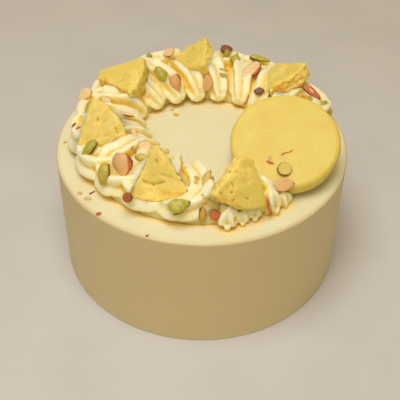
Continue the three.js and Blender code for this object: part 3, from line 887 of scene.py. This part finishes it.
def make_cake(material, cream):
    """Iced body: flat scraped top with a crisp rim, smooth side with faint scraper marks."""
    radius = CAKE_RADIUS - CAKE_INSET
    top = [(r, CAKE_HEIGHT) for r in np.linspace(0.01, 1, 56)[:-1] ** 0.8 * (radius - CAKE_EDGE)]
    rim = [
        (radius - CAKE_EDGE * (1 - math.sin(a)), CAKE_HEIGHT - CAKE_EDGE * (1 - math.cos(a)))
        for a in np.linspace(0, math.pi / 2, 9)
    ]
    side = [(radius, z) for z in np.linspace(CAKE_HEIGHT - CAKE_EDGE, 1, 72)[1:]]
    foot = [(radius - 0.3, 0.25), (radius - 1, 0)]
    base = [(r, 0) for r in (radius * 0.66, radius * 0.33, 0.01)]
    profile = (top + rim + side + foot + base)[::-1]
    turns = np.linspace(0, 2 * math.pi, CAKE_SIDES, endpoint=False)
    rings = []
    for r, z in profile:
        rings.append([np.array([r * math.cos(a), r * math.sin(a), z]) for a in turns])
    points, faces = tube(rings)
    points = np.array(points)
    distance = np.hypot(points[:, 0], points[:, 1])
    angle = np.arctan2(points[:, 1], points[:, 0])
    around = np.column_stack([points[:, 0] * 0.35, points[:, 1] * 0.35, points[:, 2] * 2.2])
    side_share = np.clip((distance - radius + 3) / 3, 0, 1) * (points[:, 2] > 2)
    drift = 0.16 * noise_at(points, 34, 1) + 0.07 * noise_at(around, 9, 2)
    scale = 1 + side_share * np.clip(drift, -1, 0.22) / radius
    points[:, 0] *= scale
    points[:, 1] *= scale
    top_share = (points[:, 2] > CAKE_HEIGHT - 1.2) * np.clip(distance / 12, 0, 1)
    sweep = np.sin(distance * 0.55 + 2.5 * np.sin(angle + 0.6) + 0.8 * np.sin(3 * angle))
    lift = 0.05 * sweep + 0.12 * noise_at(points, 30, 3) + 0.06 * noise_at(points, 7, 4)
    points[:, 2] += top_share * (lift - 0.12)
    at_rim = (distance > CAKE_RADIUS - RIM_BAND) & (np.abs(points[:, 2] - CAKE_HEIGHT) < RIM_DEPTH)
    points[:, 2] += 0.14 * noise_at(points, 12, 5) * at_rim
    points[:, 2] = np.minimum(points[:, 2], CAKE_HEIGHT)
    piece = make_piece("icing", points, faces, "icing", material, "iced_cake")
    reach = np.array([cream.find_nearest(Vector(p) * MM)[3] / MM for p in points])
    spread = FOOT_SHADE_REACH * (1 + 0.5 * noise_at(points, 22, 6))
    # The side share paints shade on the cake's side; the share by the cream paints a golden contact shadow
    # round its foot.
    set_shares(piece, side=side_share, seep=np.clip(1 - reach / spread, 0, 1) ** 1.3)
    return piece


def joined(shapes):
    """Points and faces of several shapes as one list of each."""
    points, faces = [], []
    for shape_points, shape_faces in shapes:
        start = len(points)
        points += list(shape_points)
        faces += [tuple(start + i for i in face) for face in shape_faces]
    return points, faces


def flat_below(mesh, height):
    """Cuts away what lies below a height and closes the cut."""
    shape = bmesh.new()
    shape.from_mesh(mesh)
    everything = shape.verts[:] + shape.edges[:] + shape.faces[:]
    bmesh.ops.bisect_plane(
        shape, geom=everything, plane_co=(0, 0, height * MM), plane_no=(0, 0, 1), clear_inner=True)
    rim = [edge for edge in shape.edges if edge.is_boundary]
    bmesh.ops.triangle_fill(shape, edges=rim, use_beauty=True, use_dissolve=False)
    bmesh.ops.recalc_face_normals(shape, faces=shape.faces)
    shape.to_mesh(mesh)
    shape.free()


def make_cream(material):
    """The piped ring: strokes, drops and bed in one skin, pressed in where pieces lie on it."""
    shapes = [bed()] + [stroke(i) for i in range(len(STROKES))] + [drop(*row) for row in DROPS]
    points, faces = joined(shapes)
    mesh = remeshed("cream", points, faces, CREAM_VOXEL, CREAM_SMOOTHING)
    flat_below(mesh, CAKE_HEIGHT - CREAM_SINK)
    points = points_of(mesh)
    free = np.clip((points[:, 2] - CAKE_HEIGHT) / 3, 0, 1)[:, None]
    points += normals_of(mesh) * layered(points, CREAM_RELIEF)[:, None] * free
    disc = disc_outline(PRESS_INSET)
    points = press(points, DISC_PLACE, disc, DISC_THICKNESS, 1.4 * DISC_THICKNESS, DISC_LIP)
    for row in WEDGES.values():
        *shape, hug = row[PLACE_VALUES:]
        outline = wedge_outline(*shape, PRESS_INSET)
        lip = WEDGE_LIP + 2 * hug
        points = press(points, row, outline, WEDGE_THICKNESS, 1.4 * WEDGE_THICKNESS, lip, hug)
    for shape, *row in ALMONDS + PISTACHIOS:
        length, width, thickness = row[PLACE_VALUES:]
        outline = nut_outline(shape, length, width, 0.9)
        points = press(points, row, outline, thickness, 1.2 * thickness, NUT_LIP)
    piece = make_piece("cream", points, faces_of(mesh), "cream", material, "piped_cream")
    # The hollow share places the painted groove shade.
    set_shares(piece, hollow=hollow_share(piece.data, HOLLOW_ROUNDS, HOLLOW_DEPTH))
    return piece


def broken_share(own, radius, between, broken_arc):
    """How far each point of a wedge lies on its broken sides rather than on its skin."""
    half = radians(between / 2)
    x = own[:, 0] + WEDGE_CENTRE * radius
    depth = x * math.sin(half) - np.abs(own[:, 1]) * math.cos(half)
    if broken_arc:
        depth = np.minimum(depth, radius - np.hypot(x, own[:, 1]))
    skin = np.clip((WEDGE_THICKNESS / 2 - np.abs(own[:, 2])) / 1.6, 0, 1)
    return np.clip(1 - depth / 1.8, 0, 1) * (0.25 + 0.75 * skin)


def make_disc(material):
    """The whole rasmalai, a disc with full round edges and a faintly uneven skin."""
    points, faces = stacked(disc_outline, edge_layers(DISC_THICKNESS / 2, DISC_EDGE, 9))
    mesh = remeshed("rasmalai_whole", points, faces, RASMALAI_VOXEL, RASMALAI_SMOOTHING)
    own = points_of(mesh)
    own += normals_of(mesh) * (layered(own, DISC_RELIEF) - 0.1)[:, None]
    piece = make_piece(
        "rasmalai_whole", place(own, DISC_PLACE), faces_of(mesh), "rasmalai", material, "rasmalai_disc")
    # The hollow share places painted shade in the disc's pits; the other share is random orange mottling.
    set_shares(
        piece, crumb=0.08 + 0.15 * np.clip(noise_at(own, 7, 24), 0, 1),
        hollow=hollow_share(piece.data, 12, 0.3), stain=0.25 * np.clip(noise_at(own, 13, 25), 0, 1))
    return piece


def near_line(own, start, end, radius):
    """From 1 on a short line in a piece's own plane to 0 at radius from it."""
    away = line_distance(own[:, :2], start, end)
    return np.clip(1 - (away / radius) ** 2, 0, 1) ** 2


def make_wedge(name, number, row, material):
    """A torn wedge of rasmalai: skin above and below, crumbly cut sides, pits, and painted shade in its
    pits and in orange patches.
    """
    radius, tip, between, _ = row[PLACE_VALUES:]
    points, faces = stacked(
        lambda inset: wedge_outline(radius, tip, between, inset),
        edge_layers(WEDGE_THICKNESS / 2, WEDGE_EDGE, 7))
    mesh = remeshed(name, points, faces, RASMALAI_VOXEL, RASMALAI_SMOOTHING)
    own = points_of(mesh)
    spread = own + 100 * number
    cut = broken_share(own, radius, between, name == CRUMBLY_ARC)
    patches = np.clip(1.6 * noise_at(spread, 9, 30) - 0.15, 0, 0.6)
    crumbly = np.maximum(cut, patches)
    rough = layered(spread, CRUMB_RELIEF)
    pits = -PIT_DEPTH * np.clip(noise_at(spread, 2.4, 35) - 0.25, 0, 1)
    dents = -DENT_DEPTH * np.clip(noise_at(spread, 3.4, 36) - 0.46, 0, 1)
    relief = layered(spread, WEDGE_RELIEF) - 0.1 + dents + cut * (rough + pits) + 0.2 * patches * rough
    upper = own[:, 2] > 0
    wavering = own + 0.5 * noise_at(spread, 1.6, 49)[:, None]
    for start, end, size, depth in WEDGE_PITS[name]:
        relief -= depth * upper * near_line(wavering, start, end, size)
    # Orange painted shade from the list of patches.
    stain = sum(upper * near_line(own, start, end, size) for start, end, size in PAINTED_WEDGE_SHADE[name])
    ragged = np.column_stack([noise_at(own * (1, 1, 0.4), 3.2, seed) for seed in (37, 38)])
    ragged += 0.6 * np.column_stack([noise_at(spread * (1, 1, 0.5), 1.5, seed) for seed in (47, 48)])
    inward = outline_distance(own[:, :2], wedge_outline(radius, tip, between))
    edge = np.clip(1 - inward / RAGGED_BAND, 0, 1)
    own += normals_of(mesh) * relief[:, None]
    own[:, :2] += RAGGED_DEPTH * ragged * edge[:, None]
    piece = make_piece(
        "rasmalai_piece_" + name, place(own, row), faces_of(mesh), "rasmalai", material,
        "rasmalai_wedge_" + name)
    # Painted shade in the wedge's pits.
    hollow = hollow_share(piece.data, 14, 0.35)
    set_shares(piece, crumb=crumbly, hollow=hollow, stain=np.clip(stain, 0, 1))
    return piece


def nut_layers(shape, thickness):
    """Shares of the outline and heights from the underside up."""
    if shape == "half":
        low = [(0.45, -0.5), (0.8, -0.5), (0.93, -0.46), (1.0, -0.32), (1.0, -0.2)]
        dome = [(math.cos(a), -0.2 + 0.7 * math.sin(a)) for a in np.linspace(0.18, 1.45, 12)]
        rows = low + dome
    else:
        side = [(0.4, 0.5), (0.75, 0.5), (0.9, 0.48), (0.97, 0.4), (1.0, 0.2)]
        rows = [(share, -height) for share, height in side] + side[::-1]
    return [(share, height * thickness) for share, height in rows]


def chipped(own, length, width, number):
    """Breaks off the outline of a chopped nut along a few straight lines."""
    draw = random.Random(SEED + number)
    for _ in range(NUT_CHIPS):
        angle = draw.uniform(0.55, 1.45) * math.pi
        limit = draw.uniform(0.66, 0.9)
        across = np.array([math.cos(angle), math.sin(angle)])
        reach = (own[:, :2] / (length / 2, width / 2)) @ across
        beyond = np.maximum(reach - limit, 0)
        own[:, :2] -= 0.9 * beyond[:, None] * across * (length / 2, width / 2)
    return own


def make_nut(name, number, row, looks, material, slot_name):
    """A nut in its own piece, with numbers that say where its skin and dark rim show."""
    shape, at, tilt, facing, spin, length, width, thickness = row
    angle, skin_share, tone, kind = looks
    taper = NUT_TAPER[slot_name]
    points, faces = stacked(
        lambda share: nut_outline(shape, length, width, share, NUT_STEPS, taper),
        nut_layers(shape, thickness))
    own = np.array(points)
    flat = own[:, :2] / (length / 2, width / 2)
    edge = np.hypot(*flat.T)
    if shape != "coin":
        own = chipped(own, length, width, number)
    spread = own + 50 * number
    bow = 0.1 * own[:, 0] ** 2 / length if shape == "slice" else 0
    own[:, 0] *= 1 + 0.08 * noise_at(spread, 4, 41)
    own[:, 1] *= 1 + 0.1 * noise_at(spread, 3, 42)
    own[:, 2] += 0.14 * noise_at(spread, 2.6, 43) + 0.12 * noise_at(spread * (0.3, 1, 1), 0.9, 44) - bow
    placed = place(own, [at, tilt, facing, spin])
    piece = make_piece(name + "_piece", placed, faces, slot_name, material, name)
    toward = (seen_direction(angle) @ leaning(tilt, facing, spin))[:2]
    toward /= np.linalg.norm(toward)
    has_skin = skin_share > 0
    above = own[:, 2] >= -0.4 * thickness
    covered = (edge + SKIN_SIDE * (flat @ toward) - 1 - SKIN_SIDE + 2 * skin_share) / SKIN_FADE
    outer = (edge + RIM_SIDE * (flat @ toward) - RIM_START) / (1 - RIM_START)
    set_shares(
        piece, skin=has_skin * above * np.clip(covered, 0, 1), rim=has_skin * np.clip(outer, 0, 1),
        tone=np.full(len(own), tone), kind=np.full(len(own), kind))
    return piece


def seen_direction(angle):
    """Direction in space of an angle in the picture, from the right upward."""
    pitch = radians(CAMERA_PITCH)
    rise = math.sin(radians(angle))
    return np.array([math.cos(radians(angle)), rise * math.sin(pitch), rise * math.cos(pitch)])


def laid(points, trees, spot, angle):
    """Lays a flat bit on the surface nearest to a spot, its length in a direction of the picture."""
    near = Vector(spot) * MM + Vector((0, 0, CAKE_HEIGHT * MM))
    ground, normal = min((tree.find_nearest(near) for tree in trees), key=lambda found: found[3])[:2]
    upward = np.array(normal + Vector((0, 0, 0.15)))
    upward /= np.linalg.norm(upward)
    along = seen_direction(angle)
    along -= upward * (along @ upward)
    along /= np.linalg.norm(along)
    turn = np.column_stack([along, np.cross(upward, along), upward])
    return points @ turn.T + np.array(ground) / MM


def flake(length, width, thickness, number):
    """A small broken flake that sinks a little into what it lies on."""
    points, faces = stacked(
        lambda share: nut_outline("slice", length, width, share, 20),
        nut_layers("slice", thickness))
    own = chipped(np.array(points), length, width, number)
    own[:, :2] *= 1 + 0.2 * noise_at(own + 9 * number, 1.6, 51)[:, None]
    own[:, 2] += 0.2 * thickness * noise_at(own + 9 * number, 1.1, 52) + 0.25 * thickness
    return own, faces


def make_crumbs(name, rows, slot_name, material, trees, numbers):
    """One piece of many loose bits; numbers names what the rest of each row says of the bit."""
    shapes = []
    said = {word: [] for word in numbers}
    for number, (spot, angle, length, width, thickness, *rest) in enumerate(rows):
        points, faces = flake(length, width, thickness, number + len(name))
        shapes.append((laid(points, trees, spot, angle), faces))
        for word, value in zip(numbers, rest):
            said[word] += [value] * len(points)
    points, faces = joined(shapes)
    piece = make_piece(name, points, faces, slot_name, material)
    set_shares(piece, **said)
    return piece


def strewn_rows():
    """Rows of the fine crumbs, in the form of RASMALAI_CRUMBS with how stained each is."""
    draw = random.Random(SEED)
    rows = []
    for (x, y, height), reach, count in STREWN:
        for _ in range(count):
            spot = (x + draw.gauss(0, 0.5) * reach, y + draw.gauss(0, 0.5) * reach, height)
            size = draw.uniform(*STREWN_SIZE)
            form = (size, 0.75 * size, 0.5 * size)
            rows.append((spot, draw.uniform(0, 180), *form, draw.uniform(0, 0.7)))
    return rows


def make_stuck_bits(material):
    """The bits of nut that stick in the cream."""
    shapes = []
    tones = []
    for number, (at, size, tone) in enumerate(BITS):
        length, width, thickness = (size * share for share in BIT_FORM)
        points, faces = stacked(
            lambda share: nut_outline("half", length, width, share, 28),
            nut_layers("half", thickness))
        own = chipped(np.array(points), length, width, 70 + number)
        own *= 1 + 0.12 * noise_at(own + 9 * number, 1.8, 53)[:, None]
        shapes.append((place(own, [at, 40, -90, 60 * number]), faces))
        tones += [tone] * len(points)
    points, faces = joined(shapes)
    piece = make_piece("pistachio_bits", points, faces, "pistachio", material, "piped_cream")
    set_shares(piece, tone=tones, kind=[0.8] * len(tones), skin=[0] * len(tones))
    return piece


def surface_tree(piece):
    """A piece's surface, for finding the point of it that is nearest to another."""
    shape = bmesh.new()
    shape.from_mesh(piece.data)
    tree = BVHTree.FromBMesh(shape)
    shape.free()
    return tree


def make_floor():
    corners = [(x * FLOOR_HALF, y * FLOOR_HALF, 0) for x, y in ((-1, -1), (1, -1), (1, 1), (-1, 1))]
    floor = from_points("floor", corners, [(0, 1, 2, 3)])
    floor.data.materials.append(plain_look("floor", (202, 201, 203), (198, 197, 199), 60, 0.7))


def make_light(name, at, size, power, colour):
    data = bpy.data.lights.new(name, "AREA")
    data.shape = "DISK"
    data.size = size
    data.energy = power
    data.color = colour
    light = in_scene(name, data)
    light.location = at
    light.rotation_euler = (LIGHT_AIM - Vector(at)).to_track_quat("-Z", "Y").to_euler()


def make_lights():
    world = bpy.data.worlds.new("studio")
    bpy.context.scene.world = world
    world.use_nodes = True
    background = world.node_tree.nodes["Background"]
    background.inputs["Color"].default_value = GLOW_COLOUR
    background.inputs["Strength"].default_value = GLOW_STRENGTH
    for name, row in LIGHTS.items():
        make_light(name, *row)


def make_camera():
    data = bpy.data.cameras.new("camera")
    data.lens = CAMERA_LENS
    data.sensor_width = CAMERA_SENSOR
    camera = in_scene("camera", data)
    pitch = radians(CAMERA_PITCH)
    forward = Vector((0, math.cos(pitch), -math.sin(pitch)))
    right = Vector((1, 0, 0))
    up = right.cross(forward)
    roll = radians(CAMERA_ROLL)
    rolled_right = math.cos(roll) * right + math.sin(roll) * up
    rolled_up = math.cos(roll) * up - math.sin(roll) * right
    turn = Matrix((rolled_right, rolled_up, -forward)).transposed()
    camera.matrix_world = Matrix.Translation(Vector(CAMERA_PLACE) * MM) @ turn.to_4x4()
    bpy.context.scene.camera = camera


def build():
    make_camera()
    make_lights()
    make_floor()
    bpy.context.scene.view_settings.view_transform = "Standard"
    cream = make_cream(cream_look())
    icing = make_cake(icing_look(), surface_tree(cream))
    rasmalai = rasmalai_look()
    grounds = [cream, icing, make_disc(rasmalai)]
    for number, (name, row) in enumerate(WEDGES.items()):
        grounds.append(make_wedge(name, number, row, rasmalai))
    trees = [surface_tree(piece) for piece in grounds]
    almond = nut_look(
        "almond", pale=(230, 202, 150), deep=(204, 148, 86), green=None,
        skins=((208, 112, 58), (130, 74, 52)), rim=(112, 62, 38))
    pistachio = nut_look(
        "pistachio", pale=(214, 206, 98), deep=(200, 158, 62), green=(158, 162, 56),
        skins=((120, 62, 34), (150, 104, 30)), rim=(84, 70, 24))
    for number, (row, looks) in enumerate(zip(ALMONDS, ALMOND_SKIN)):
        make_nut(f"almond_{number + 1}", number, row, looks, almond, "almond")
    for number, (row, looks) in enumerate(zip(PISTACHIOS, PISTACHIO_SKIN)):
        make_nut(f"pistachio_{number + 1}", number + 40, row, looks, pistachio, "pistachio")
    make_stuck_bits(pistachio)
    said = ("tone", "kind", "skin")
    make_crumbs("almond_crumbs", ALMOND_CRUMBS, "almond", almond, trees, said)
    make_crumbs("pistachio_crumbs", PISTACHIO_CRUMBS, "pistachio", pistachio, trees, said)
    orange = [(*row, 1) for row in RASMALAI_CRUMBS]
    make_crumbs("rasmalai_crumbs", orange + strewn_rows(), "rasmalai", rasmalai, trees, ("stain",))
    saffron = plain_look("saffron", (222, 108, 24), (196, 70, 16), 3, 0.5)
    make_crumbs("saffron_strands", SAFFRON, "almond", saffron, trees, ())


build()
